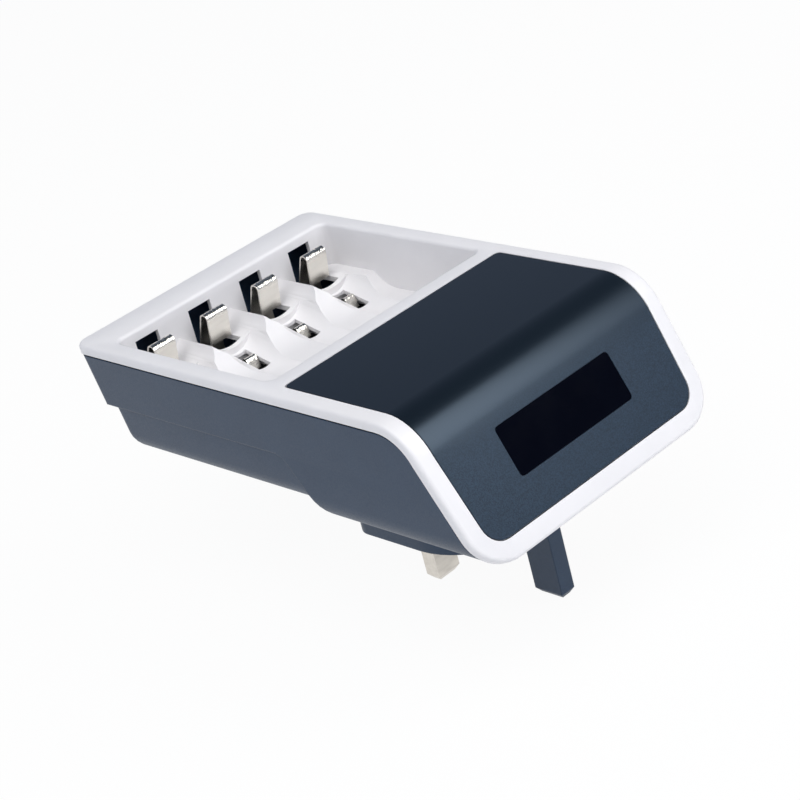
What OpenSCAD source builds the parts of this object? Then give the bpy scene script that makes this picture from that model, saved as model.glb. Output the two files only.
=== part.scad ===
// Four-bay charger for AA and AAA cells that plugs straight into a wall socket.
// The origin is the centre of the plug face, +Z is up and +Y points to the cell bays.

/* [Bays] */
// Distance between neighbouring bay centres
bay_pitch = 16; // [15.6:0.1:19]
// Gap between the outer bays and the side walls of the tray
bay_margin = 0.4; // [0.2:0.1:2]
// Length of the tray opening
tray_len = 55; // [54:0.1:60]
// Corner radius of the tray opening
tray_corner_r = 2.5; // [1.5:0.1:4]
// Wall thickness of the tray
tray_wall = 1.2; // [1:0.1:1.5]
// Thickness of the tray's front wall, with the pockets of the positive contacts
front_wall = 2.4; // [2.2:0.1:3]
// Depth of the pockets, so that a cell put in the wrong way round makes no contact
pocket_d = 1.5; // [1.3:0.1:1.6]
// Floor thickness of the tray
tray_floor = 1.6; // [1.2:0.1:2]
// Depth of the AAA troughs below the rim
trough_depth = 15.7; // [15.2:0.1:16.2]
// Radius of the AAA troughs
trough_r = 6; // [5.6:0.1:6.6]
// Length of the ramp at the back end of the AAA troughs
ramp_len = 9.5; // [8:0.1:11]
// Rise of the ramp
ramp_rise = 2.15; // [1.6:0.05:2.4]
// Length of the AA shelf in front of the back wall
shelf_len = 9.7; // [9:0.1:10.5]
// Depth of the AA cradles below the rim
cradle_depth = 12; // [11.4:0.1:12.6]
// Radius of the AA cradles
cradle_r = 9.2; // [8.6:0.1:9.4]
// Depth of the ridges between the bays at the back wall
ridge_depth = 7.2; // [6:0.1:9]
// Depth of the low ridges between the bays
low_ridge_depth = 14.4; // [14:0.1:14.6]
// Depth of the ledges along the side walls
ledge_depth = 10.8; // [9.5:0.1:11.5]

/* [Frame] */
// Width of the rim beside the tray
side_rim = 4.65; // [4.2:0.05:7]
// Width of the rim behind the tray
back_rim = 10.5; // [9.5:0.1:14]
// Width of the strip between the tray and the cover
strip_w = 5; // [4.6:0.1:8]
// Thickness of the frame
frame_t = 2.2; // [2:0.1:3]
// Radius of the outer and inner top edges
edge_r = 0.9; // [0.4:0.1:1.2]
// Plan radius of the back corners
back_corner_r = 3.5; // [3:0.1:6]
// Radius of the two lower corners of the front
foot_corner_r = 9.6; // [8:0.1:11]
// Height of the top face above the plug face
top_z = 39.3; // [38:0.1:44]
// Draft of the side walls in degrees
side_draft = 2.4; // [1:0.1:3]
// Draft of the back wall in degrees
back_draft = 9.5; // [8:0.5:12]

/* [Front] */
// Line where the top face and the front slope would meet
bend_y = -20.2; // [-24:0.1:-18]
// Radius of the bend between the top face and the slope
bend_r = 12; // [10:0.5:13]
// Angle of the front slope below the horizontal
slope_deg = 64.5; // [62:0.5:68]
// Length of the slope from that line to the foot of the frame
slope_len = 34.6; // [33.4:0.1:36]

/* [Cover] */
// Back edge of the front cover
cover_back_y = 19.15; // [17:0.05:22]
// Width of the frame band round the cover
band_w = 4; // [3.6:0.1:5]
// Width of the frame band below the cover
foot_band = 4.4; // [4:0.1:5]
// Thickness of the cover
cover_t = 1.4; // [1.2:0.1:1.6]
// Gap round the cover
cover_gap = 0.25; // [0.15:0.05:0.4]
// Radius of the lower corners of the cover
cover_corner_r = 5; // [4:0.1:7]
// Radius of the back corners of the cover
cover_back_r = 1.2; // [0.8:0.1:3]
// Width of the ledge that carries the cover
ledge_w = 2; // [1.5:0.1:3]

/* [Display] */
// Width of the display window
window_w = 34.6; // [30:0.1:40]
// Height of the display window along the slope
window_h = 11.4; // [9:0.1:12]
// Distance of the window's upper edge down the slope
window_top = 10.4; // [9.5:0.1:11]
// Corner radius of the window
window_r = 1; // [0.5:0.1:2]
// Thickness of the display panel
panel_t = 2.2; // [1.8:0.1:2.6]

/* [Housing] */
// Wall thickness of the lower housing
wall = 2; // [1.8:0.1:2.4]
// Gap in the joint between frame and housing
joint_gap = 0.35; // [0.2:0.05:0.5]
// Depth of the open groove along that joint
joint_depth = 0.7; // [0.5:0.1:0.9]
// Height of the bottom of the deep front block
deep_z = 8.05; // [7.9:0.05:8.3]
// Radius of the lower edges of the deep block
deep_r = 7.5; // [7:0.1:9]
// Back end of the deep block's bottom
deep_back_y = 12.3; // [11:0.1:13]
// Angle of the deep block's back wall above the horizontal
deep_back_deg = 58; // [52:1:64]
// Radius between the deep block's bottom and its back wall
deep_toe_r = 7; // [5:0.1:8]
// Radius between the deep block's back wall and the tail
step_fillet_r = 3; // [2:0.1:4]
// Radius of the lower edge of the outer wall
step_edge_r = 0.6; // [0.3:0.1:1]
// Height of the lower edge of the outer wall at the tail
step_z = 23.75; // [23:0.05:24.5]
// Height of the bottom of the lower block
low_z = 11.9; // [11:0.1:12.4]
// Radius of the long lower edges of the lower block
low_r = 5.2; // [4.6:0.1:7]
// Radius of the lower back edge of the lower block
low_back_r = 4; // [3:0.1:6]
// Inset of the lower block's sides from the outer wall
low_inset = 0.4; // [0.2:0.05:0.6]
// Width of the ledge behind the lower block
low_back_inset = 3.5; // [3:0.1:4]

/* [Contacts] */
// Thickness of the contact strips
strip_t = 0.4; // [0.3:0.05:0.5]
// Width of the AA contacts
aa_w = 6.1; // [5:0.1:6.4]
// Distance of the AA contacts' front from the back wall of the tray
aa_reach = 6.35; // [6:0.05:6.6]
// Depth of the AA contacts' top below the rim
aa_top_depth = 3; // [2.8:0.1:4]
// Outer radius of the AA contacts' fold
aa_crest_r = 1.4; // [1.2:0.1:1.6]
// Length of the AA contacts' free front leg
aa_front_len = 6.6; // [5:0.1:7]
// Lean of the AA contacts' front leg in degrees
aa_front_lean = 11; // [6:0.5:13]
// Lean of the AA contacts' back leg in degrees
aa_back_lean = 24; // [21:0.5:26]
// Distance from the AA contacts' fold back to the leg that stands in the board
aa_root = 4.2; // [4:0.05:4.3]
// Width of the AAA contacts
aaa_w = 3; // [2.6:0.1:3.4]
// Distance of the AAA contacts' front from the back wall of the tray
aaa_reach = 14.8; // [14.6:0.1:15.2]
// Depth of the AAA contacts' top below the rim
aaa_top_depth = 13.8; // [13.5:0.1:14.2]
// Outer radius of the AAA contacts' fold
aaa_crest_r = 0.9; // [0.8:0.1:1]
// Length of the AAA contacts' free front leg
aaa_front_len = 2.6; // [2:0.1:3]
// Lean of the AAA contacts' front leg in degrees, its foot pointing forward
aaa_front_lean = -20; // [-30:1:-10]
// Lean of the AAA contacts' back leg in degrees
aaa_back_lean = 19; // [16:0.5:21]
// Distance from the AAA contacts' fold back to the leg that stands in the board
aaa_root = 1.15; // [1.1:0.05:1.3]
// Width of the positive contacts
positive_w = 7; // [6:0.1:9]
// Clearance of the contacts in their slots
slot_gap = 0.3; // [0.25:0.05:0.5]

/* [Plug] */
// Half width of the plug base
plug_hw = 25.7; // [25:0.1:26]
// Back edge of the plug base
plug_back_y = 19; // [18.5:0.1:20]
// Front edge of the plug base
plug_front_y = -21.5; // [-22.5:0.1:-20.5]
// Gap between the plug base and the housing
plug_gap = 0.15; // [0.1:0.05:0.3]
// Thickness of the plug face
face_t = 3; // [2.5:0.1:4]
// Radius of the plug base's back corners
plug_back_r = 4.2; // [3.5:0.1:6]
// Radius of the plug base's front corners
plug_front_r = 20; // [16:0.5:22]
// Width of the line pins
line_w = 6.35; // [6.2:0.05:6.5]
// Thickness of all pins
pin_t = 4; // [3.8:0.05:4.2]
// Length of the line pins
line_len = 17.7; // [17:0.1:18.5]
// Width of the earth pin
earth_w = 8; // [7.8:0.05:8.2]
// Length of the earth pin
earth_len = 23.2; // [22.5:0.1:23.5]
// Half of the distance between the two line pins
line_x = 11.1; // [10.9:0.05:11.3]
// Distance of each pin row from the plug centre
pin_row_y = 11.1; // [10.9:0.05:11.3]
// Length of the insulating sleeves
sleeve_len = 9.5; // [8:0.1:10]
// Thickness of the insulating sleeves
sleeve_t = 0.5; // [0.4:0.05:0.7]
// Height of the bevel at the pin tips
tip_bevel = 1.2; // [0.8:0.1:2]
// Width of that bevel
tip_inset = 0.9; // [0.6:0.1:1.2]

/* [Boards] */
// Thickness of the contact board and the power board
board_t = 1.6; // [1.2:0.1:2]
// Gap between the tray's underside and the contact board
board_drop = 2.9; // [2.5:0.1:3.2]
// Height of the power board above the plug face
power_z = 15; // [14.5:0.1:16]
// Width of the transformer's core
core_w = 18; // [16:0.5:20]
// Length of the transformer's core
core_len = 14; // [12:0.5:16]
// Thickness of each core plate
core_t = 3; // [2:0.1:3.5]
// Diameter of the transformer's coil
coil_d = 13; // [11:0.5:13.5]
// Height of the transformer's coil
coil_h = 9; // [7:0.5:10]
// Diameter of the mains capacitor
mains_cap_d = 10; // [8:0.5:11]
// Height of the mains capacitor
mains_cap_h = 16; // [12:0.5:17]
// Diameter of the output capacitor
output_cap_d = 8; // [6:0.5:9]
// Height of the output capacitor
output_cap_h = 12; // [9:0.5:14]
// Length of the fuse
fuse_len = 10; // [8:0.5:12]
// Diameter of the fuse
fuse_d = 3.8; // [3:0.1:4.5]
// Distance of the parts on the power board from its sides
part_margin = 5.5; // [4:0.1:6]

/* [Screws] */
// Diameter of the screw heads
head_d = 4.6; // [4:0.1:5]
// Height of the screw heads
head_h = 1.6; // [1.2:0.1:2]
// Diameter of the screw shanks
shank_d = 2.5; // [2.2:0.1:2.8]
// Length of the screw shanks
shank_len = 9; // [8:0.5:9.5]
// Diameter of the screw bosses
boss_d = 6.4; // [6:0.1:7]
// Material between the screw heads and the contact board
seat_t = 3.5; // [3:0.1:4]

/* [Hidden] */
$fn = 48;
arc_steps = 8;
eps = 0.01;
reach = 200;
bay_count = 4;
bays = [for (i = [0 : bay_count - 1]) (i - (bay_count - 1) / 2) * bay_pitch];
tray_w = bay_count * bay_pitch + 2 * bay_margin;
body_w = tray_w + 2 * side_rim;
tray_front_y = cover_back_y + strip_w;
tray_back_y = tray_front_y + tray_len;
back_y = tray_back_y + back_rim;
shelf_y = tray_back_y - shelf_len;
tray_z = top_z - trough_depth - tray_floor;
shelf_z = top_z - cradle_depth - tray_floor;
bend_len = bend_r * tan(slope_deg / 2);
slope_start = bend_len + 0.4;
foot_hw = half_width(top_z - slope_len * sin(slope_deg));
cover_hw = body_w / 2 - band_w;
cover_foot_hw = foot_hw - band_w;
cover_len = slope_len - foot_band;
joint_t = frame_t + joint_gap;
low_back_y = back_wall_y(step_z) - low_back_inset;
ramp_deg = atan2(ramp_rise, ramp_len);
board_z = tray_z - board_drop - board_t;
boss_seat_z = board_z - seat_t;
rear_screws = [[-bay_pitch, shelf_y + 4.5], [bay_pitch, shelf_y + 4.5]];
front_screw_x = tray_w / 2 - boss_d / 2 - 0.2;
front_screw_y = tray_front_y - boss_d / 2 - 0.05;
front_screws = [[-front_screw_x, front_screw_y], [front_screw_x, front_screw_y]];
power_gap = 3.5;
power_hw = half_width(power_z) - wall - power_gap;
power_y = [plug_front_y + 0.5, plug_back_y - 5.5];
power_top = power_z + board_t;
pin_tail = [2, 1];
tail_room = 0.4;
power_posts = [for (x = [-1, 1], y = [power_y[0] + 3, power_y[1] - 5]) [x * (power_hw - 2.5), y]];
plug_top_z = low_z + wall;
tail_len = 0.4;
aa_crest_y = tray_back_y - aa_reach + aa_crest_r;
aaa_crest_y = tray_back_y - aaa_reach + aaa_crest_r;
aa_root_y = aa_crest_y + aa_root;
aaa_root_y = aaa_crest_y + aaa_root;
positive_top_z = top_z - 2.8;
positive_y = tray_front_y - pocket_d;
white = "#e1e0e5";
slate = "#3c4858";
metal = "#cfcdc6";
board_black = "#22282b";

// Half width of the body at a height, after the side draft
function half_width(z) = body_w / 2 - (top_z - z) * tan(side_draft);

// Place of the back wall at a height, after the back draft
function back_wall_y(z) = back_y - (top_z - z) * tan(back_draft);

// Extrudes an outline drawn in X and Z along Y
module along_y(y0, y1) {
    translate([0, y1, 0]) rotate([90, 0, 0]) linear_extrude(y1 - y0) children();
}

// Extrudes an outline drawn in Y and Z along X, centred
module along_x(width) {
    rotate([90, 0, 90]) linear_extrude(width, center = true) children();
}

// Carries what is drawn on the top plane's frame to the front slope, -Y being down the slope
module on_slope() {
    translate([0, bend_y, top_z]) rotate([slope_deg, 0, 0]) children();
}

// Turns an outline of radius and X round the bend between top face and slope
module round_bend() {
    translate([0, bend_y + bend_len, top_z - bend_r]) rotate([180, -90, 0])
        rotate_extrude(angle = slope_deg) children();
}

// Points of an arc round a centre
function arc(c, r, a0, a1) = let (n = max(arc_steps, ceil(r)))
    [for (i = [0 : n]) let (a = a0 + (a1 - a0) * i / n) c + r * [cos(a), sin(a)]];

// Outline with straight tapering sides from y = 0 down to a foot with two round corners
module footed(hw_top, hw_foot, len, r) {
    taper = atan2(hw_top - hw_foot, len);
    cx = hw_foot + r * tan(taper) - r / cos(taper);
    polygon(concat([[-hw_top, 0]], arc([-cx, r - len], r, 180 + taper, 270),
        arc([cx, r - len], r, 270, 360 - taper), [[hw_top, 0]]));
}

// Rectangle between two corners, with round corners of radius r
module round_rect(x0, y0, x1, y1, r) {
    polygon(concat(arc([x1 - r, y1 - r], r, 0, 90), arc([x0 + r, y1 - r], r, 90, 180),
        arc([x0 + r, y0 + r], r, 180, 270), arc([x1 - r, y0 + r], r, 270, 360)));
}

// Area under the top face and the slope, measured d below them
module side_area(d) {
    c = [bend_y + bend_len, top_z - bend_r];
    r = bend_r - d;
    foot_len = 60;
    tangent = c + r * [-sin(slope_deg), cos(slope_deg)];
    foot = tangent - foot_len * [cos(slope_deg), sin(slope_deg)];
    polygon(concat([[reach, foot[1]], [reach, top_z - d]], arc(c, r, 90, 90 + slope_deg), [foot]));
}

// Area in front of a wall that rises at an angle from a floor, with a round corner between them
module toe_area(corner_y, z0, deg, r, z1) {
    c = [corner_y - r * tan(deg / 2), z0 + r];
    wall_y = corner_y + (z1 - z0) / tan(deg);
    polygon(concat([[-reach, z0]], arc(c, r, 270, 270 + deg), [[wall_y, z1], [-reach, z1]]));
}

// Cross-section of the body in X and Z down to a floor, inset from the outer walls
module body_section(inset, z0, r, z1) {
    translate([0, z1]) footed(half_width(z1) - inset, half_width(z0) - inset, z1 - z0, r);
}

// Thin slice of the body at one height, from y0 to y1, with round back corners
module body_slice(hw, y0, y1, r, z) {
    translate([0, y0, z]) rotate([0, 0, 180]) linear_extrude(eps) footed(hw, hw, y1 - y0, r);
}

// Deep front block, inset all round, up to z1
module deep_form(inset, z1) {
    corner_y = deep_back_y + inset / tan(deep_back_deg) - inset / sin(deep_back_deg);
    intersection() {
        along_y(-reach, reach) body_section(inset, deep_z + inset, deep_r - inset, z1);
        along_x(reach) toe_area(corner_y, deep_z + inset, deep_back_deg, deep_toe_r - inset, z1);
    }
}

// Tail of the outer wall, inset all round, up to z1
module tail_form(inset, z1) {
    spare = 0.02;
    r = back_corner_r - inset;
    z0 = step_z + inset;
    back_inset = inset / cos(back_draft);
    intersection() {
        along_y(-reach, reach) body_section(inset, z0, step_edge_r, z1);
        along_x(reach) toe_area(back_wall_y(z0) - back_inset, z0, 90 - back_draft, step_edge_r, z1);
        hull() for (z = [z0 - 1, z1 + 1])
            body_slice(half_width(z) - inset + spare, -reach, back_wall_y(z) - back_inset + spare, r, z);
    }
}

// Lower block under the tail, inset all round, with round lower edges, up to z1
module low_form(inset, z1) {
    z0 = low_z + inset;
    r_side = low_r - inset;
    r_back = low_back_r - inset;
    hull() for (h = concat([for (a = [0 : 15 : 90]) r_side * (1 - cos(a))], [z1 - z0])) {
        z = z0 + h;
        hw = half_width(z) - low_inset - inset - round_inset(r_side, h);
        y = low_back_y - (step_z - z) * tan(back_draft) - inset / cos(back_draft) - round_inset(r_back, h);
        body_slice(hw, 0, y, max(back_corner_r - inset - round_inset(r_back, h), 1.5), z);
    }
}

// Inset of a round lower edge of radius r at a height above its floor
function round_inset(r, h) = h < r ? r - sqrt(r * r - (r - h) * (r - h)) : 0;

// Small fillet under the tail where the deep block's back wall begins
module step_fillet() {
    t = step_fillet_r * tan(deep_back_deg / 2);
    corner = [deep_back_y + (step_z - deep_z) / tan(deep_back_deg), step_z];
    intersection() {
        along_y(0, reach) body_section(0, deep_z, deep_r, top_z);
        along_x(reach) polygon(concat([corner + [-step_fillet_r, 1], corner + [t, 1]],
            arc(corner + [t, -step_fillet_r], step_fillet_r, 90, 90 + deep_back_deg)));
    }
}

// Outline of the plug base, grown by g
module plug_outline(g) {
    back = [plug_hw - plug_back_r, plug_back_y - plug_back_r];
    front = [plug_hw - plug_front_r, plug_front_y + plug_front_r];
    rb = plug_back_r + g;
    rf = plug_front_r + g;
    polygon(concat(arc(back, rb, 0, 90), arc([-back[0], back[1]], rb, 90, 180),
        arc([-front[0], front[1]], rf, 180, 270), arc(front, rf, 270, 360)));
}

module at_screws() {
    for (p = concat(rear_screws, front_screws)) translate([p[0], p[1], 0]) children();
}

module lower_housing() {
    color(slate) difference() {
        union() {
            difference() {
                union() {
                    intersection() {
                        union() {
                            deep_form(0, top_z);
                            tail_form(0, top_z);
                            step_fillet();
                            low_form(0, step_z + 1);
                        }
                        along_x(reach) side_area(joint_t);
                    }
                    intersection() {
                        union() {
                            deep_form(joint_depth, top_z);
                            tail_form(joint_depth, top_z);
                        }
                        along_x(reach) side_area(frame_t);
                    }
                }
                deep_form(wall, top_z + 1);
                tail_form(wall, top_z + 1);
                low_form(wall, top_z + 1);
            }
            intersection() {
                for (p = rear_screws)
                    translate([p[0], p[1], low_z]) cylinder(d = boss_d, h = board_z - low_z);
                low_form(0, step_z);
            }
            intersection() {
                for (p = front_screws)
                    translate([p[0], p[1], low_z]) cylinder(d = boss_d, h = board_z + board_t - low_z);
                low_form(0, step_z);
            }
            intersection() {
                for (p = power_posts) translate([p[0], p[1], deep_z]) cylinder(d = 4, h = power_z - deep_z);
                deep_form(0, top_z);
            }
        }
        at_screws() {
            translate([0, 0, low_z - 1]) cylinder(d = head_d + 0.6, h = boss_seat_z - low_z + 1);
            translate([0, 0, low_z]) cylinder(d = shank_d + 0.5, h = board_z);
        }
        translate([0, 0, deep_z - 1]) linear_extrude(plug_top_z - deep_z + 1 + eps) plug_outline(plug_gap);
    }
}

// Area above a ridge that falls from a high level to a low one toward the front
module above_ridge(high, low, crest_y, deg, r_top, r_foot) {
    top_tan = [crest_y - r_top * sin(deg), high - r_top * (1 - cos(deg))];
    foot_z = low + r_foot * (1 - cos(deg));
    foot_y = top_tan[0] - (top_tan[1] - foot_z) / tan(deg) - r_foot * sin(deg);
    polygon(concat([[-reach, low]], arc([foot_y, low + r_foot], r_foot, 270, 270 + deg),
        arc([crest_y, high - r_top], r_top, 90 + deg, 90), [[reach, high], [reach, reach], [-reach, reach]]));
}

// Room that the cells lie in, open at the top
module tray_room() {
    hw = tray_w / 2;
    depth = trough_depth + 1;
    intersection() {
        translate([0, 0, top_z - depth]) linear_extrude(depth + 1)
            round_rect(-hw, tray_front_y, hw, tray_back_y, tray_corner_r);
        union() {
            along_x(reach) above_ridge(top_z - ridge_depth, top_z - low_ridge_depth,
                tray_back_y - 11.4, 52, 3, 9.5);
            for (s = [0, 1]) mirror([s, 0, 0]) translate([bays[bay_count - 1] + bay_pitch / 2, 0, 0])
                along_x(bay_pitch) above_ridge(top_z - ledge_depth, top_z - low_ridge_depth,
                    tray_back_y - 16.5, 25, 4, 9.5);
            for (x = bays) translate([x, 0, 0]) {
                trough();
                translate([0, tray_back_y + 1, top_z - cradle_depth + cradle_r]) rotate([90, 0, 0])
                    cylinder(r = cradle_r, h = tray_len + 2);
            }
        }
    }
}

// Cross-section of an AAA trough standing on its lowest point, open at the top
module trough_area() {
    c = [0, trough_r];
    high = top_z;
    polygon(concat(arc(c, trough_r, 180, 270), arc(c, trough_r, 270, 360),
        [[trough_r, high], [-trough_r, high]]));
}

// AAA trough with a flat floor and a ramp that rises to the AA shelf
module trough() {
    z = top_z - trough_depth;
    intersection() {
        translate([0, 0, z]) along_y(tray_front_y - 1, shelf_y) trough_area();
        translate([0, shelf_y - ramp_len, z]) rotate([ramp_deg, 0, 0])
            along_y(-tray_len, 2 * ramp_len) trough_area();
    }
}

// Rounds the top edge of the tray opening
module tray_edge_cut() {
    hw = tray_w / 2;
    for (a = [0 : 30 : 60]) hull() for (b = [a, a + 30]) {
        g = edge_r * (1 - cos(b)) + (b == 90 ? eps : 0);
        translate([0, 0, top_z - edge_r * (1 - sin(b)) + (b == 90 ? eps : 0)]) linear_extrude(eps)
            round_rect(-hw - g, tray_front_y - g, hw + g, tray_back_y + g, tray_corner_r + g);
    }
}

// Slots that the spring contacts stand in, and pockets of the positive contacts
module contact_slots() {
    aa_front = 1.7;
    aaa_front = 4.4;
    aaa_back = 0.85;
    top_gap = 0.3;
    relief = 1.6;
    web = 0.7;
    aa_len = aa_reach + aa_front + tray_wall + 1;
    aaa_len = aaa_reach + aaa_front - shelf_len - aaa_back;
    floor_z = top_z - trough_depth;
    for (x = bays) {
        translate([x - aa_w / 2 - slot_gap, tray_back_y - aa_reach - aa_front, shelf_z - 1])
            cube([aa_w + 2 * slot_gap, aa_len, top_z - aa_top_depth + top_gap - shelf_z + 1]);
        translate([x - aaa_w / 2 - slot_gap, tray_back_y - aaa_reach - aaa_front, tray_z - 1])
            cube([aaa_w + 2 * slot_gap, aaa_len, trough_depth - cradle_depth + tray_floor + 0.5]);
        translate([x - aa_w / 2 - relief, tray_back_y - aa_reach - aa_front - relief, shelf_z - 1])
            cube([aa_w + 2 * relief, aa_len + relief, tray_floor - web + 1]);
        translate([x - aaa_w / 2 - relief, shelf_y - ramp_len, floor_z]) rotate([ramp_deg, 0, 0])
            translate([0, 0, -web - trough_depth / 2])
            cube([aaa_w + 2 * relief, ramp_len - aaa_back / 2, trough_depth / 2]);
        translate([x - positive_w / 2 - slot_gap, positive_y, floor_z])
            cube([positive_w + 2 * slot_gap, pocket_d + eps, positive_top_z + top_gap - floor_z]);
        translate([x - positive_w / 4 - slot_gap, positive_y, tray_z - 1])
            cube([positive_w / 2 + 2 * slot_gap, strip_t + slot_gap, tray_floor + 2]);
    }
}

// Bent plate between two depths below the top face and the slope, with the cover's outline
module cover_pocket(inset, d0, d1) {
    hw = cover_hw - inset;
    foot = cover_foot_hw - inset;
    r = cover_corner_r - min(inset, 3);
    len = cover_len - inset - slope_start;
    rise = 60;
    deep = 80;
    intersection() {
        difference() {
            along_x(reach) side_area(d0);
            along_x(reach) side_area(d1);
        }
        translate([0, -rise, 0]) rotate([0, 0, 180]) linear_extrude(top_z + 2)
            footed(hw, hw, cover_back_y - inset + rise, cover_back_r);
        on_slope() translate([0, rise - slope_start, -deep]) linear_extrude(deep + 2)
            footed(hw + (hw - foot) * rise / len, foot, len + rise, r);
    }
}

// Outer form of the frame with round upper edges: flat top, bend and slope in one, a little too thick
module frame_form() {
    hw = body_w / 2;
    base_d = frame_t + 0.5;
    bend_points = [for (a = [0 : 22.5 : 90]) [bend_r - edge_r * (1 - sin(a)), hw - edge_r * (1 - cos(a))]];
    hull() {
        for (a = [0 : 22.5 : 90]) {
            inset = edge_r * (1 - cos(a));
            depth = edge_r * (1 - sin(a)) + eps;
            translate([0, bend_y + bend_len, top_z - depth]) rotate([0, 0, 180]) linear_extrude(eps)
                footed(hw - inset, hw - inset, back_y - bend_y - bend_len - inset, back_corner_r - inset);
            on_slope() translate([0, -slope_start, -depth]) linear_extrude(eps)
                footed(hw - inset, foot_hw - inset, slope_len - slope_start - inset, foot_corner_r - inset);
        }
        translate([0, bend_y + bend_len, top_z - base_d]) rotate([0, 0, 180]) linear_extrude(eps)
            footed(hw, hw, back_y - bend_y - bend_len, back_corner_r);
        on_slope() translate([0, -slope_start, -base_d]) linear_extrude(eps)
            footed(hw, foot_hw, slope_len - slope_start, foot_corner_r);
        round_bend() polygon(concat([[bend_r - base_d, hw]], bend_points,
            [for (i = [4 : -1 : 0]) [bend_points[i][0], -bend_points[i][1]]], [[bend_r - base_d, -hw]]));
    }
}

module upper_frame() {
    lip_h = 2;
    lip_gap = 0.2;
    lip_t = 1;
    lip_z = top_z - frame_t - lip_h;
    lip_hw = half_width(lip_z) - wall - lip_gap;
    lip_y = back_wall_y(lip_z) - wall / cos(back_draft) - lip_gap;
    lip_r = max(back_corner_r - wall - lip_gap, lip_t / 2);
    lip_inner_r = max(lip_r - lip_t, lip_t / 4);
    tray_hw = tray_w / 2 + tray_wall;
    boss_z = board_z + board_t;
    color(white) difference() {
        union() {
            difference() {
                frame_form();
                along_x(reach) side_area(frame_t);
            }
            translate([-tray_hw, tray_front_y - front_wall, tray_z])
                cube([2 * tray_hw, shelf_y - tray_front_y + front_wall + tray_wall, top_z - edge_r - tray_z]);
            translate([-tray_hw, shelf_y, shelf_z])
                cube([2 * tray_hw, shelf_len + tray_wall, top_z - edge_r - shelf_z]);
            translate([0, 0, lip_z]) linear_extrude(lip_h + eps) difference() {
                round_rect(-lip_hw, tray_front_y - tray_wall, lip_hw, lip_y, lip_r);
                round_rect(lip_t - lip_hw, tray_front_y, lip_hw - lip_t, lip_y - lip_t, lip_inner_r);
            }
            for (p = rear_screws) translate([p[0], p[1], boss_z])
                cylinder(d = boss_d, h = shelf_z - boss_z + 0.5);
            for (p = front_screws) translate([p[0], p[1], boss_z])
                cylinder(d = boss_d, h = top_z - frame_t - boss_z + 0.2);
        }
        cover_pocket(0, -1, cover_t);
        cover_pocket(ledge_w, cover_t - 0.5, frame_t + 1);
        tray_room();
        tray_edge_cut();
        contact_slots();
        at_screws() translate([0, 0, board_z])
            cylinder(d = shank_d + 0.1, h = boss_seat_z + shank_len + 0.6 - board_z);
    }
}

module front_cover() {
    post_d = 3;
    color("#333e4b") difference() {
        union() {
            cover_pocket(cover_gap, 0, cover_t);
            on_slope() for (p = display_posts()) translate([p[0], p[1], -display_board_d()])
                cylinder(d = post_d, h = display_board_d() - cover_t + eps);
        }
        on_slope() translate([0, 0, -cover_t - 1]) linear_extrude(cover_t + 2) window_area(0);
    }
}

// Outline of the window on the slope, grown by g
module window_area(g) {
    x = window_w / 2 + g;
    round_rect(-x, -window_top - window_h - g, x, g - window_top, window_r + g);
}

// Depth of the display board below the slope
function display_board_d() = cover_t + window_flange() + panel_t;
function window_flange() = 0.8;
function display_posts() = [for (x = [-1, 1], y = [0, 1])
    [x * (window_w / 2 + 5), -window_top - y * window_h]];

module display_window() {
    color("#05080d") on_slope() {
        translate([0, 0, -cover_t]) linear_extrude(cover_t - 0.05) window_area(-0.1);
        translate([0, 0, -cover_t - window_flange()]) linear_extrude(window_flange()) window_area(1);
    }
}

module display_panel() {
    color("#3a4038") on_slope() translate([0, 0, -display_board_d()])
        linear_extrude(panel_t) window_area(0.8);
}

module display_board() {
    t = 1.2;
    margin = 2.6;
    color(board_black) on_slope() translate([0, 0, -display_board_d() - t]) linear_extrude(t)
        round_rect(-window_w / 2 - 5 - margin, -window_top - window_h - margin,
            window_w / 2 + 5 + margin, margin - window_top, 1);
}

// Plug base: a cup that passes through the housing floor and hangs on two tabs
module plug_base() {
    tab_t = 1.5;
    tab_w = 24;
    tab_len = 2;
    pin_gap = 0.05;
    color("#343f4d") difference() {
        union() {
            linear_extrude(plug_top_z) plug_outline(0);
            translate([-tab_w / 2, plug_front_y - tab_len, deep_z + wall]) cube([tab_w, 2 * tab_len, tab_t]);
            translate([-tab_w / 2, plug_back_y - tab_len, plug_top_z - eps])
                cube([tab_w, 2 * tab_len, tab_t]);
        }
        translate([0, 0, face_t]) linear_extrude(reach) plug_outline(-wall);
        for (x = [-line_x, line_x]) translate([x, pin_row_y, face_t / 2])
            cube([line_w + 2 * pin_gap, pin_t + 2 * pin_gap, face_t + 2], center = true);
        translate([0, -pin_row_y, face_t / 2])
            cube([pin_t + 2 * pin_gap, earth_w + 2 * pin_gap, face_t + 2], center = true);
    }
}

// Blade with a bevelled tip, pointing down from height z1
module blade(x, y, len, z1) {
    b = tip_bevel;
    c = tip_inset;
    intersection() {
        along_y(-reach, reach) polygon([[-x / 2, z1], [-x / 2, b - len], [c - x / 2, -len],
            [x / 2 - c, -len], [x / 2, b - len], [x / 2, z1]]);
        along_x(reach) polygon([[-y / 2, z1], [-y / 2, b - len], [c - y / 2, -len],
            [y / 2 - c, -len], [y / 2, b - len], [y / 2, z1]]);
    }
}

// Line pin at the origin: neck inside the sleeve, flange on the plug face, tail to the power board
module line_pin() {
    flange = [line_w + 2.4, pin_t + 2.4, 1.5];
    tail = [pin_tail[0], pin_tail[1], power_top + 2 * tail_room - face_t];
    color("#d8d2c6") {
        difference() {
            blade(line_w, pin_t, line_len, face_t);
            sleeve_ring(1, 0);
        }
        translate([-flange[0] / 2, -flange[1] / 2, face_t]) cube(flange);
        translate([-tail[0] / 2, -tail[1] / 2, face_t]) cube(tail);
    }
}

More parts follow.
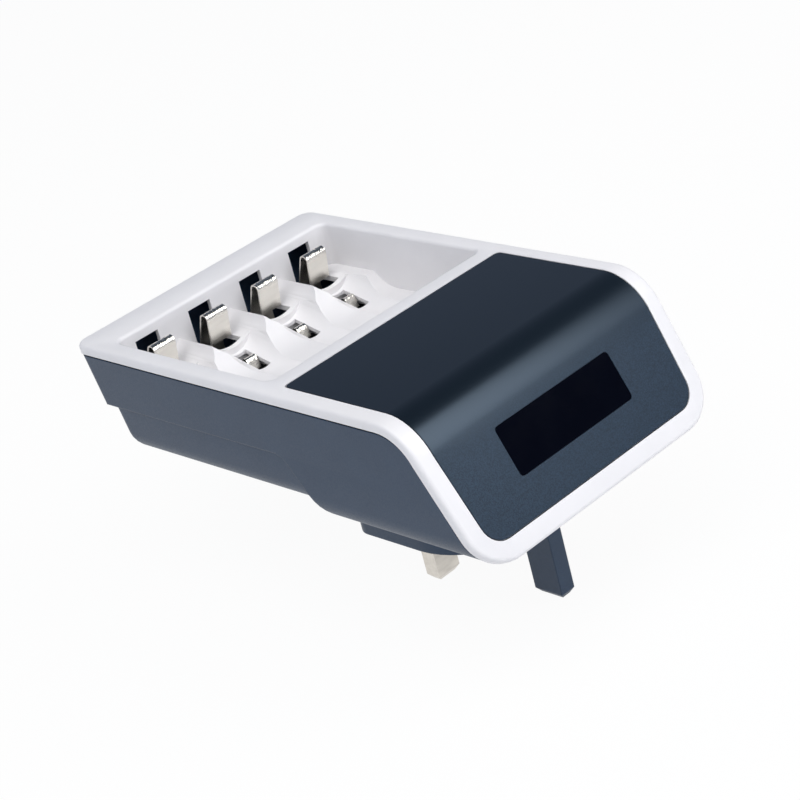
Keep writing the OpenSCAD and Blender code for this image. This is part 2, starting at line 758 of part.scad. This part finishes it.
// Ring that an insulating sleeve fills, grown by a outside and by b inside
module sleeve_ring(a, b) {
    c = sleeve_t - b;
    translate([0, 0, -sleeve_len]) linear_extrude(sleeve_len) difference() {
        square([line_w + 2 * a, pin_t + 2 * a], center = true);
        square([line_w - 2 * c, pin_t - 2 * c], center = true);
    }
}

module live_pin() {
    translate([line_x, pin_row_y, 0]) line_pin();
}

module neutral_pin() {
    translate([-line_x, pin_row_y, 0]) line_pin();
}

module live_sleeve() {
    color("#1c2027") translate([line_x, pin_row_y, 0]) sleeve_ring(0, 0.02);
}

module neutral_sleeve() {
    color("#1c2027") translate([-line_x, pin_row_y, 0]) sleeve_ring(0, 0.02);
}

module earth_pin() {
    flange = [pin_t + 2.4, earth_w + 2.4, 1.5];
    color("#333d4a") translate([0, -pin_row_y, 0]) {
        blade(pin_t, earth_w, earth_len, face_t);
        translate([-flange[0] / 2, -flange[1] / 2, face_t]) cube(flange);
    }
}

module power_board() {
    color(board_black) difference() {
        translate([-power_hw, power_y[0], power_z]) cube([2 * power_hw, power_y[1] - power_y[0], board_t]);
        for (x = [-line_x, line_x]) translate([x, pin_row_y, power_z])
            cube([pin_tail[0] + tail_room, pin_tail[1] + tail_room, 4 * board_t], center = true);
    }
}

// Transformer on the power board: two core plates and the coil between them
module transformer() {
    color("#c9a23a") translate([0, (power_y[0] + power_y[1] + core_len / 2) / 2, power_top]) {
        for (z = [0, core_t + coil_h]) translate([-core_w / 2, -core_len / 2, z])
            cube([core_w, core_len, core_t]);
        translate([0, 0, core_t - eps]) cylinder(d = coil_d, h = coil_h + 2 * eps);
    }
}

// Upright can capacitor standing on the power board, with a groove near its foot
module can_capacitor(d, h) {
    groove_r = 0.9;
    groove_z = 1.6;
    translate([0, 0, power_top]) difference() {
        cylinder(d = d, h = h);
        translate([0, 0, groove_z]) rotate_extrude() translate([d / 2 + groove_r / 2, 0]) circle(groove_r);
    }
}

module mains_capacitor() {
    x = power_hw - part_margin - mains_cap_d / 2;
    color("#20242c") translate([-x, power_y[0] + part_margin + mains_cap_d / 2, 0])
        can_capacitor(mains_cap_d, mains_cap_h);
}

module output_capacitor() {
    x = power_hw - part_margin - output_cap_d / 2;
    color("#20242c") translate([x, power_y[1] - 2 * part_margin - output_cap_d / 2, 0])
        can_capacitor(output_cap_d, output_cap_h);
}

// Fuse lying on the power board on two feet
module mains_fuse() {
    lift = 0.3;
    foot = 0.8;
    r = fuse_d / 2;
    x = power_hw - part_margin - fuse_len / 2;
    color("#d9d4c4") translate([x, power_y[0] + part_margin + r, power_top]) {
        translate([-fuse_len / 2, 0, r + lift]) rotate([0, 90, 0]) cylinder(r = r, h = fuse_len);
        for (s = [-1, 1]) translate([s * fuse_len / 3, 0, foot / 2]) cube(foot, center = true);
    }
}

module bridge_rectifier() {
    size = [8, 6.4, 2.6];
    y = power_y[1] - 2 * part_margin - size[1] / 2;
    color("#1e2228") translate([part_margin - power_hw, y, power_top]) cube(size);
}

// Board under the tray that carries the contacts
module contact_board() {
    hw = tray_w / 2 - 1;
    edge_room = 1.6;
    y0 = positive_y - edge_room;
    y1 = aa_root_y + edge_room;
    notch = boss_d / 2 + 0.5;
    hole_h = 4 * board_t;
    root_t = strip_t + 4 * slot_gap;
    color(board_black) difference() {
        translate([-hw, y0, board_z]) cube([2 * hw, y1 - y0, board_t]);
        for (s = [0, 1]) mirror([s, 0, 0])
            translate([front_screw_x - notch, front_screw_y + notch - reach, board_z - 1])
                cube([reach, reach, hole_h]);
        for (p = rear_screws) translate([p[0], p[1], board_z])
            cylinder(d = shank_d + 0.7, h = hole_h, center = true);
        for (x = bays) {
            translate([x, aa_root_y, board_z]) cube([aa_w + 2 * slot_gap, root_t, hole_h], center = true);
            translate([x, aaa_root_y, board_z]) cube([aaa_w + 2 * slot_gap, root_t, hole_h], center = true);
            translate([x, positive_y + strip_t / 2, board_z])
                cube([positive_w / 2 + 2 * slot_gap, root_t, hole_h], center = true);
        }
    }
}

module charge_controller() {
    size = [8, 8, 1.4];
    color("#1e2228") translate([-size[0] / 2, tray_front_y + tray_len / 3, board_z - size[2]]) cube(size);
}

// Strip folded to a hairpin: free front leg, round crest, back leg bent down to the board
module hairpin(w, crest, r, front_len, front_lean, back_lean, root) {
    inner_r = r - strip_t;
    front = [-cos(front_lean), -sin(front_lean)];
    back = [cos(back_lean), sin(back_lean)];
    front_leg = front_len * [sin(front_lean), -cos(front_lean)];
    outer_y = root + strip_t / 2;
    inner_y = root - strip_t / 2;
    foot_z = board_z - tail_len - crest[1];
    color(metal) along_x(w) translate(crest) polygon(concat(
        [[inner_y, foot_z], [outer_y, foot_z], [outer_y, knee_z(outer_y, r, back_lean)]],
        arc([0, 0], r, back_lean, 180 + front_lean),
        [r * front + front_leg, inner_r * front + front_leg],
        arc([0, 0], inner_r, 180 + front_lean, back_lean),
        [[inner_y, knee_z(inner_y, inner_r, back_lean)]]));
}

// Height where a line that leaves a circle of radius r at a lean reaches y, from the circle's centre
function knee_z(y, r, lean) = r * sin(lean) - (y - r * cos(lean)) / tan(lean);

module aa_contact(i) {
    crest = [aa_crest_y, top_z - aa_top_depth - aa_crest_r];
    translate([bays[i], 0, 0])
        hairpin(aa_w, crest, aa_crest_r, aa_front_len, aa_front_lean, aa_back_lean, aa_root);
}

module aaa_contact(i) {
    crest = [aaa_crest_y, top_z - aaa_top_depth - aaa_crest_r];
    translate([bays[i], 0, 0])
        hairpin(aaa_w, crest, aaa_crest_r, aaa_front_len, aaa_front_lean, aaa_back_lean, aaa_root);
}

module aa_contact_1() aa_contact(0);
module aa_contact_2() aa_contact(1);
module aa_contact_3() aa_contact(2);
module aa_contact_4() aa_contact(3);
module aaa_contact_1() aaa_contact(0);
module aaa_contact_2() aaa_contact(1);
module aaa_contact_3() aaa_contact(2);
module aaa_contact_4() aaa_contact(3);

// Flat contact in a pocket of the front wall, with a tail down to the contact board
module positive_contact(i) {
    z0 = top_z - trough_depth + 1.2;
    dome_d = 3.6;
    dome_h = 0.6;
    dome_z = top_z - cradle_depth + 7.3;
    tail_z = board_z - tail_len;
    color(metal) translate([bays[i], positive_y, 0]) {
        translate([-positive_w / 2, 0, z0]) cube([positive_w, strip_t, positive_top_z - z0]);
        translate([-positive_w / 4, 0, tail_z]) cube([positive_w / 2, strip_t, z0 - tail_z + 1]);
        translate([0, strip_t - eps, dome_z]) rotate([-90, 0, 0])
            cylinder(d1 = dome_d, d2 = dome_d - 2 * dome_h, h = dome_h);
    }
}

module positive_contact_1() positive_contact(0);
module positive_contact_2() positive_contact(1);
module positive_contact_3() positive_contact(2);
module positive_contact_4() positive_contact(3);

module housing_screws() {
    cross = [2.6, 0.6, 1.6];
    color("#b9bcc0") at_screws() difference() {
        union() {
            translate([0, 0, boss_seat_z - head_h]) cylinder(d = head_d, h = head_h);
            translate([0, 0, boss_seat_z]) cylinder(d = shank_d, h = shank_len);
        }
        for (a = [0, 90]) translate([0, 0, boss_seat_z - head_h]) rotate(a)
            cube(cross, center = true);
    }
}

lower_housing();
upper_frame();
front_cover();
display_window();
display_panel();
display_board();
plug_base();
live_pin();
neutral_pin();
earth_pin();
live_sleeve();
neutral_sleeve();
power_board();
transformer();
mains_capacitor();
output_capacitor();
mains_fuse();
bridge_rectifier();
contact_board();
charge_controller();
aa_contact_1();
aa_contact_2();
aa_contact_3();
aa_contact_4();
aaa_contact_1();
aaa_contact_2();
aaa_contact_3();
aaa_contact_4();
positive_contact_1();
positive_contact_2();
positive_contact_3();
positive_contact_4();
housing_screws();
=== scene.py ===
"""Looks of a plug-in charger for AA and AAA cells: finishes of the CAD pieces, camera, light and floor."""

import math

import bpy
from mathutils import Matrix, Vector


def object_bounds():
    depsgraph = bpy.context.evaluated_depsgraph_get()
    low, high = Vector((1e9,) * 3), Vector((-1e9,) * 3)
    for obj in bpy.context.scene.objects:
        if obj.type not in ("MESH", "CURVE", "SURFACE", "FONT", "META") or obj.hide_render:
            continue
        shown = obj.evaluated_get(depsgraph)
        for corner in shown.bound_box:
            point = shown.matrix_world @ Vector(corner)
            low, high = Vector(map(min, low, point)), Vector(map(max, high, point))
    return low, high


MM = 0.001

# Camera at the photograph's viewing angle: its place in millimetres and its axes, in the part's frame.
CAMERA_PLACE = (-270.78, -327.12, 229.14)
CAMERA_RIGHT = (0.69652, -0.67770, -0.23575)
CAMERA_DOWN = (-0.46015, -0.16978, -0.87146)
CAMERA_FORWARD = (0.55057, 0.71547, -0.43010)
CAMERA_LENS = 100.1
CAMERA_CLIP = (0.01, 20)
SENSOR = 36.0

# Points closer than this are joined, and edges flatter than this angle are then shaded smooth.
WELD_DISTANCE = 0.004 * MM
SMOOTH_ANGLE = math.radians(32)

# Light: a dim bluish room, a soft box above, and one in front whose reflection lies on the slope.
# Places in millimetres; sizes, across and along, in metres.
ROOM_LOW = (0.29, 0.345, 0.46, 1)
ROOM_HIGH = (0.03, 0.036, 0.045, 1)
LAMP_TARGET = (0, 25, 20)
KEY_PLACE, KEY_SIZE, KEY_POWER = (-450, -290, 1080), (1.2, 1.2), 13.2
FRONT_PLACE, FRONT_SIZE, FRONT_POWER = (225, -358, 380), (0.28, 0.47), 1.45
FRONT_ROLL = math.radians(-16)

# Matt white floor, and the share of plain white in it where it is seen directly.
FLOOR_SIZE = 6.0
FLOOR_DROP = 0.2 * MM
FLOOR_COLOUR = (0.9, 0.9, 0.9, 1)
FLOOR_ROUGHNESS = 0.9
FLOOR_WHITE = 0.95

# Dark plastic of the housing: two close tones, a painted shade, nearly black, for its joints and other
# grooves, and a bluish sheen.
SHELL_NODES = ("lower_housing", "plug_base", "earth_pin")
SLATE, SLATE_DARK = (0.0235, 0.043, 0.081), (0.022, 0.04, 0.076)
# Painted shade: the colour and the gloss laid in grooves and corners that occlusion rays find, within the
# reach below.
SLATE_PAINTED_SHADE = (0.001, 0.0015, 0.003)
SLATE_SHEEN = (0.72, 0.86, 1, 1)
SLATE_GLOSS, PAINTED_SHADE_GLOSS = 0.5, 0.04
SLATE_ROUGHNESS = (0.39, 0.5)
SLATE_GRAIN, SLATE_GRAIN_DEPTH = 0.35 * MM, 0.005 * MM
PAINTED_SHADE_REACH = 0.8 * MM
EDGE_RADIUS = 0.45 * MM

# Dark cover: smooth above the first height, grained and speckled below the second.
COVER, COVER_DARK = (0.003, 0.0064, 0.0106), (0.0027, 0.0058, 0.0096)
COVER_SPECKLE = (0.011, 0.022, 0.04)
COVER_SHEEN = (0.6, 0.78, 1, 1)
COVER_GLOSS = 0.72
COVER_SMOOTH_Z, COVER_GRAINED_Z = 36 * MM, 27 * MM
COVER_ROUGHNESS = (0.28, 0.36)
COVER_GRAIN, COVER_GRAIN_DEPTH, COVER_GRAIN_HARSHNESS = 0.32 * MM, 0.03 * MM, 0.6
SPECKLE_SPAN = (0.35, 0.65)
COVER_CLOUD = 7 * MM

# Glossy black window, which mirrors little.
WINDOW, WINDOW_DARK = (0.0018, 0.0024, 0.0056), (0.0016, 0.0021, 0.005)
WINDOW_ROUGHNESS, WINDOW_GLOSS = 0.1, 0.015
WINDOW_GRAIN, WINDOW_GRAIN_DEPTH = 4 * MM, 0.0005 * MM

# Spring contacts: two tones of nickel, a painted shade between the legs, and the fold's depths below the
# crest.
SPRING_KINDS = ("aa", "aaa")
NICKEL, NICKEL_DARK = (0.93, 0.9, 0.83), (0.8, 0.77, 0.7)
# Painted shade: a near-black tone between the legs, where occlusion rays within the reach below are blocked.
NICKEL_PAINTED_SHADE = (0.05, 0.05, 0.046)
LEGS_SHADE_REACH = 5 * MM
FOLD_START, FOLD_END = 2.4 * MM, 0.9 * MM
LEG_ROUGHNESS, FOLD_ROUGHNESS = 0.36, 0.16
CRINKLE, CRINKLE_DEPTH, CRINKLE_STRETCH = 0.9 * MM, 0.22 * MM, (1, 0.6, 0.6)
SPRING_BRUSH = 1.2 * MM

# Other metals: pieces, colour, roughness and size of the brush marks.
METALS = {
    "plate_nickel": ([f"positive_contact_{i}" for i in range(1, 5)], (0.92, 0.89, 0.82), 0.3, 1.2 * MM),
    "pin_nickel": (["live_pin", "neutral_pin"], (0.74, 0.7, 0.64), 0.34, 0.8 * MM),
    "screw_steel": (["housing_screws"], (0.55, 0.56, 0.58), 0.35, 0.5 * MM),
}
METAL_DARK = 0.85
METAL_SPREAD = (-0.06, 0.08)
BRUSH_STRETCH, BRUSH_DEPTH = (0.2, 1, 1), 0.02 * MM

# Plain plastics and the like: pieces, two close tones, roughness, size and depth of the grain.
PLASTICS = {
    "white_plastic": (
        ["upper_frame"], (0.825, 0.808, 0.812), (0.805, 0.788, 0.792), 0.38, 0.3 * MM, 0.003 * MM),
    "panel_glass": (
        ["display_panel"], (0.09, 0.1, 0.085), (0.08, 0.09, 0.075), 0.2, 2 * MM, 0),
    "sleeve_plastic": (
        ["live_sleeve", "neutral_sleeve"],
        (0.02, 0.022, 0.026), (0.016, 0.018, 0.022), 0.5, 0.4 * MM, 0.004 * MM),
    "board_laminate": (
        ["power_board", "contact_board", "display_board"],
        (0.018, 0.022, 0.024), (0.014, 0.018, 0.02), 0.45, 0.5 * MM, 0.004 * MM),
    "component_black": (
        ["mains_capacitor", "output_capacitor", "bridge_rectifier", "charge_controller"],
        (0.015, 0.017, 0.02), (0.02, 0.022, 0.025), 0.5, 0.3 * MM, 0.004 * MM),
    "coil_tape": (
        ["transformer"], (0.6, 0.38, 0.05), (0.5, 0.3, 0.04), 0.4, 0.6 * MM, 0.004 * MM),
    "fuse_body": (
        ["mains_fuse"], (0.62, 0.58, 0.5), (0.55, 0.5, 0.43), 0.5, 0.4 * MM, 0.003 * MM),
}
PLASTIC_SPREAD = (-0.05, 0.06)

# Size of the patches of uneven colour in plastic, and the spans of noise that patches and grain use.
CLOUD = 9 * MM
CLOUD_SPAN = (0.3, 0.7)
GRAIN_SPAN = (0.25, 0.75)
PLAIN_DETAIL, FINE_DETAIL = 2, 3

# Rays that look for grooves, where shade is painted, and for edges, and the span of openness from a shaded
# groove to an open face.
SHADE_AND_EDGE_SAMPLES = 6
PAINTED_SHADE_SPAN = (0.3, 0.75)


class Nodes:
    """Builds a material's node tree: a Principled shader fed by textures in the part's own coordinates."""

    def __init__(self, name):
        self.material = bpy.data.materials.new(name)
        self.material.use_nodes = True
        self.tree = self.material.node_tree
        self.shader = self.tree.nodes["Principled BSDF"]
        self.place = self.add("ShaderNodeTexCoord").outputs["Object"]

    def plug(self, socket, value):
        """Links a socket to another one, or sets it to a constant."""
        if isinstance(value, bpy.types.NodeSocket):
            self.tree.links.new(value, socket)
        else:
            socket.default_value = value

    def fill(self, node, **inputs):
        """Links or sets a node's inputs, by name with _ for a space."""
        for name, value in inputs.items():
            self.plug(node.inputs[name.replace("_", " ")], value)
        return node

    def add(self, kind, **inputs):
        return self.fill(self.tree.nodes.new(kind), **inputs)

    def set(self, **inputs):
        self.fill(self.shader, **inputs)

    def height(self):
        return self.add("ShaderNodeSeparateXYZ", Vector=self.place).outputs["Z"]

    def noise(self, size, detail=PLAIN_DETAIL, stretch=(1, 1, 1), roughness=0.5):
        """Noise whose patches are about size metres across."""
        scaled = self.add("ShaderNodeMapping", Vector=self.place, Scale=stretch).outputs["Vector"]
        node = self.add("ShaderNodeTexNoise",
                        Vector=scaled, Scale=1 / size, Detail=detail, Roughness=roughness)
        return node.outputs["Fac"]

    def clouds(self):
        """0 to 1 in soft patches, for uneven colour."""
        return self.band(self.noise(CLOUD, FINE_DETAIL), CLOUD_SPAN)

    def band(self, value, span, low=0.0, high=1.0):
        """Carries value from a span to the range from low to high, clamped and smooth."""
        node = self.add("ShaderNodeMapRange", Value=value,
                        From_Min=span[0], From_Max=span[1], To_Min=low, To_Max=high)
        node.interpolation_type = "SMOOTHSTEP"
        return node.outputs["Result"]

    def math(self, operation, a, b):
        node = self.add("ShaderNodeMath")
        node.operation = operation
        self.plug(node.inputs[0], a)
        self.plug(node.inputs[1], b)
        return node.outputs["Value"]

    def mix(self, factor, a, b):
        """Mixes two colours, each a socket or a constant."""
        node = self.add("ShaderNodeMix")
        node.data_type = "RGBA"
        self.fill(node, Factor=factor)
        sockets = [socket for socket in node.inputs if socket.type == "RGBA"]
        for socket, value in zip(sockets, (a, b)):
            self.plug(socket, value if isinstance(value, bpy.types.NodeSocket) else (*value, 1))
        return next(socket for socket in node.outputs if socket.type == "RGBA")

    def painted_shade_mask(self, distance):
        """Mask for painted shade, from ambient occlusion: 0 in grooves and tight corners, 1 on open faces.
        """
        node = self.add("ShaderNodeAmbientOcclusion", Distance=distance)
        node.samples = SHADE_AND_EDGE_SAMPLES
        return self.band(node.outputs["AO"], PAINTED_SHADE_SPAN)

    def soft_edges(self, radius):
        """Normals of edges that are rounded by radius."""
        node = self.add("ShaderNodeBevel", Radius=radius)
        node.samples = SHADE_AND_EDGE_SAMPLES
        return node.outputs["Normal"]

    def bump(self, height, distance, normal=None):
        node = self.add("ShaderNodeBump", Height=height, Distance=distance, Strength=1.0)
        if normal is not None:
            self.fill(node, Normal=normal)
        return node.outputs["Normal"]


def spread(middle, ends):
    """Lowest and highest value round a middle one."""
    return [middle + end for end in ends]


def slate_plastic():
    """Dark blue-grey plastic, with painted shade, nearly black, in the joint under the frame and in other
    grooves and corners.
    """
    n = Nodes("slate_plastic")
    fine = n.noise(SLATE_GRAIN)
    unshaded = n.painted_shade_mask(PAINTED_SHADE_REACH)
    plain = n.mix(n.clouds(), SLATE, SLATE_DARK)
    # Painted shade: nearly black and less glossy where occlusion finds grooves and corners.
    n.set(Base_Color=n.mix(unshaded, SLATE_PAINTED_SHADE, plain),
          Specular_IOR_Level=n.band(unshaded, (0, 1), PAINTED_SHADE_GLOSS, SLATE_GLOSS),
          Specular_Tint=SLATE_SHEEN,
          Roughness=n.band(fine, GRAIN_SPAN, *SLATE_ROUGHNESS),
          Normal=n.bump(fine, SLATE_GRAIN_DEPTH, n.soft_edges(EDGE_RADIUS)))
    return n.material


def cover_plastic():
    """Dark cover: smooth on top, with a fine matt grain on the slope."""
    n = Nodes("cover_plastic")
    slope = n.band(n.height(), (COVER_GRAINED_Z, COVER_SMOOTH_Z), 1, 0)
    grain = n.noise(COVER_GRAIN, FINE_DETAIL, roughness=COVER_GRAIN_HARSHNESS)
    speckle = n.math("MULTIPLY", n.band(grain, SPECKLE_SPAN), slope)
    plain = n.mix(n.noise(COVER_CLOUD, FINE_DETAIL), COVER, COVER_DARK)
    n.set(Base_Color=n.mix(speckle, plain, COVER_SPECKLE),
          Specular_IOR_Level=COVER_GLOSS,
          Specular_Tint=COVER_SHEEN,
          Roughness=n.band(slope, (0, 1), *COVER_ROUGHNESS),
          Normal=n.bump(n.math("MULTIPLY", grain, slope), COVER_GRAIN_DEPTH))
    return n.material


def moulded_plastic(name, colour, dark, roughness, grain_size, grain_depth):
    """Moulded plastic with slightly uneven colour, uneven gloss and a fine grain."""
    n = Nodes(name)
    fine = n.noise(grain_size)
    n.set(Base_Color=n.mix(n.clouds(), colour, dark),
          Roughness=n.band(fine, GRAIN_SPAN, *spread(roughness, PLASTIC_SPREAD)),
          Normal=n.bump(fine, grain_depth))
    return n


def window_black():
    """The display window's moulded black, with little mirroring."""
    n = moulded_plastic(
        "window_black", WINDOW, WINDOW_DARK, WINDOW_ROUGHNESS, WINDOW_GRAIN, WINDOW_GRAIN_DEPTH)
    n.set(Specular_IOR_Level=WINDOW_GLOSS)
    return n.material


def brushed_metal(name, colour, roughness, streak):
    """Metal with fine brush marks along x, in two close tones and uneven gloss."""
    n = Nodes(name)
    brush = n.noise(streak, FINE_DETAIL, BRUSH_STRETCH)
    n.set(Base_Color=n.mix(brush, colour, [METAL_DARK * channel for channel in colour]),
          Metallic=1.0,
          Roughness=n.band(brush, CLOUD_SPAN, *spread(roughness, METAL_SPREAD)),
          Normal=n.bump(brush, BRUSH_DEPTH))
    return n.material


def spring_nickel(name, crest):
    """Bent nickel strip: brushed legs, painted shade between them, and a bright, slightly crinkled fold."""
    n = Nodes(name)
    fold = n.band(n.height(), (crest - FOLD_START, crest - FOLD_END))
    crinkle = n.math("MULTIPLY", n.noise(CRINKLE, stretch=CRINKLE_STRETCH), fold)
    brush = n.noise(SPRING_BRUSH, FINE_DETAIL, BRUSH_STRETCH)
    # Painted shade: the nickel goes nearly black where occlusion finds the legs close together.
    n.set(Base_Color=n.mix(n.painted_shade_mask(LEGS_SHADE_REACH), NICKEL_PAINTED_SHADE, n.mix(brush, NICKEL, NICKEL_DARK)),
          Metallic=1.0,
          Roughness=n.band(fold, (0, 1), LEG_ROUGHNESS, FOLD_ROUGHNESS),
          Normal=n.bump(crinkle, CRINKLE_DEPTH, n.bump(brush, BRUSH_DEPTH)))
    return n.material


def seen_directly(n):
    """1 for rays from the camera, in mirrors and through glass, else 0."""
    path = n.add("ShaderNodeLightPath").outputs
    reflected = n.math("MAXIMUM", path["Is Glossy Ray"], path["Is Transmission Ray"])
    return n.math("MAXIMUM", path["Is Camera Ray"], reflected)


def floor_white():
    """Matt white floor that is seen and mirrored as nearly pure white, and keeps a faint shadow."""
    n = Nodes("floor_white")
    n.set(Base_Color=FLOOR_COLOUR, Roughness=FLOOR_ROUGHNESS)
    glow = n.add("ShaderNodeEmission", Strength=1.0)
    mix = n.add("ShaderNodeMixShader", Fac=n.math("MULTIPLY", seen_directly(n), FLOOR_WHITE))
    n.plug(mix.inputs[1], n.shader.outputs["BSDF"])
    n.plug(mix.inputs[2], glow.outputs["Emission"])
    n.fill(n.tree.nodes["Material Output"], Surface=mix.outputs["Shader"])
    return n.material


def smooth_group():
    """Geometry nodes that join a mesh's points and shade it smooth over its flat edges."""
    group = bpy.data.node_groups.new("smooth_by_angle", "GeometryNodeTree")
    for way in ("INPUT", "OUTPUT"):
        group.interface.new_socket("Geometry", in_out=way, socket_type="NodeSocketGeometry")
    new, link = group.nodes.new, group.links.new
    source, result = new("NodeGroupInput"), new("NodeGroupOutput")
    clear = new("GeometryNodeRemoveAttribute")
    clear.inputs["Name"].default_value = "custom_normal"
    weld = new("GeometryNodeMergeByDistance")
    weld.inputs["Distance"].default_value = WELD_DISTANCE
    faces, edges = new("GeometryNodeSetShadeSmooth"), new("GeometryNodeSetShadeSmooth")
    edges.domain = "EDGE"
    angle, compare = new("GeometryNodeInputMeshEdgeAngle"), new("FunctionNodeCompare")
    compare.data_type = "FLOAT"
    compare.operation = "LESS_THAN"
    compare.inputs["B"].default_value = SMOOTH_ANGLE
    link(source.outputs[0], clear.inputs["Geometry"])
    link(clear.outputs["Geometry"], weld.inputs["Geometry"])
    link(weld.outputs["Geometry"], faces.inputs["Geometry"])
    link(faces.outputs["Geometry"], edges.inputs["Geometry"])
    link(angle.outputs["Unsigned Angle"], compare.inputs["A"])
    link(compare.outputs["Result"], edges.inputs["Shade Smooth"])
    link(edges.outputs["Geometry"], result.inputs[0])
    return group


def paint(names, material, smoothing):
    """Gives CAD pieces a material, and smooth shading by a modifier that leaves their meshes as they are."""
    for name in names:
        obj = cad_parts[name]
        obj.data.materials.clear()
        obj.data.materials.append(material)
        obj.modifiers.new("smooth", "NODES").node_group = smoothing


def top_of(name):
    """Height of a piece's highest point."""
    return max(corner[2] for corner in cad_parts[name].bound_box)


def paint_all():
    """Gives every CAD piece its finish."""
    smoothing = smooth_group()
    paint(SHELL_NODES, slate_plastic(), smoothing)
    paint(["front_cover"], cover_plastic(), smoothing)
    paint(["display_window"], window_black(), smoothing)
    for name, (pieces, *finish) in PLASTICS.items():
        paint(pieces, moulded_plastic(name, *finish).material, smoothing)
    for name, (pieces, *finish) in METALS.items():
        paint(pieces, brushed_metal(name, *finish), smoothing)
    for kind in SPRING_KINDS:
        springs = [f"{kind}_contact_{i}" for i in range(1, 5)]
        paint(springs, spring_nickel(f"{kind}_nickel", top_of(springs[0])), smoothing)


def add_camera():
    data = bpy.data.cameras.new("camera")
    data.sensor_width = SENSOR
    data.lens = CAMERA_LENS
    data.clip_start, data.clip_end = CAMERA_CLIP
    camera = bpy.data.objects.new("camera", data)
    axes = (Vector(CAMERA_RIGHT), -Vector(CAMERA_DOWN), -Vector(CAMERA_FORWARD))
    turn = Matrix(axes).transposed()
    camera.matrix_world = Matrix.Translation(Vector(CAMERA_PLACE) * MM) @ turn.to_4x4()
    bpy.context.scene.collection.objects.link(camera)
    bpy.context.scene.camera = camera


def add_lamp(name, place, size, power, roll=0.0):
    """Soft box at a place in millimetres, turned to the object and rolled about its own axis."""
    data = bpy.data.lights.new(name, "AREA")
    data.shape = "RECTANGLE"
    data.size, data.size_y = size
    data.energy = power
    lamp = bpy.data.objects.new(name, data)
    lamp.location = Vector(place) * MM
    lamp.visible_camera = False
    aim = (Vector(LAMP_TARGET) - Vector(place)).to_track_quat("-Z", "Y")
    lamp.rotation_euler = aim.to_euler()
    lamp.rotation_euler.rotate_axis("Z", roll)
    bpy.context.scene.collection.objects.link(lamp)


def add_world():
    """Room light that falls off from the horizon to straight above."""
    world = bpy.data.worlds.new("studio")
    world.use_nodes = True
    tree = world.node_tree
    direction = tree.nodes.new("ShaderNodeTexCoord")
    parts = tree.nodes.new("ShaderNodeSeparateXYZ")
    ramp = tree.nodes.new("ShaderNodeMix")
    ramp.data_type = "RGBA"
    low, high = [socket for socket in ramp.inputs if socket.type == "RGBA"]
    low.default_value = ROOM_LOW
    high.default_value = ROOM_HIGH
    tree.links.new(direction.outputs["Generated"], parts.inputs["Vector"])
    tree.links.new(parts.outputs["Z"], ramp.inputs["Factor"])
    colour = next(socket for socket in ramp.outputs if socket.type == "RGBA")
    tree.links.new(colour, tree.nodes["Background"].inputs["Color"])
    bpy.context.scene.world = world


def add_floor():
    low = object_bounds()[0][2]
    bpy.ops.mesh.primitive_plane_add(size=FLOOR_SIZE, location=(0, 0, low - FLOOR_DROP))
    floor = bpy.context.object
    floor.name = "floor"
    floor.data.materials.append(floor_white())


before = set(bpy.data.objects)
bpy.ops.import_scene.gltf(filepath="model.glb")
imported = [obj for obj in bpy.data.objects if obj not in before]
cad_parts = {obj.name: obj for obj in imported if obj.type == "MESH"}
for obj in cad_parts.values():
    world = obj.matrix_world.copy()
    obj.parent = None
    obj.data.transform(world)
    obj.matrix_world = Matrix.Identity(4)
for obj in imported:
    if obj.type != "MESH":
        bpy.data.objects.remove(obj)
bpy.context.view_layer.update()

paint_all()
add_camera()
add_world()
add_floor()
add_lamp("key", KEY_PLACE, KEY_SIZE, KEY_POWER)
add_lamp("front", FRONT_PLACE, FRONT_SIZE, FRONT_POWER, FRONT_ROLL)

scene = bpy.context.scene
scene.view_settings.view_transform = "Standard"
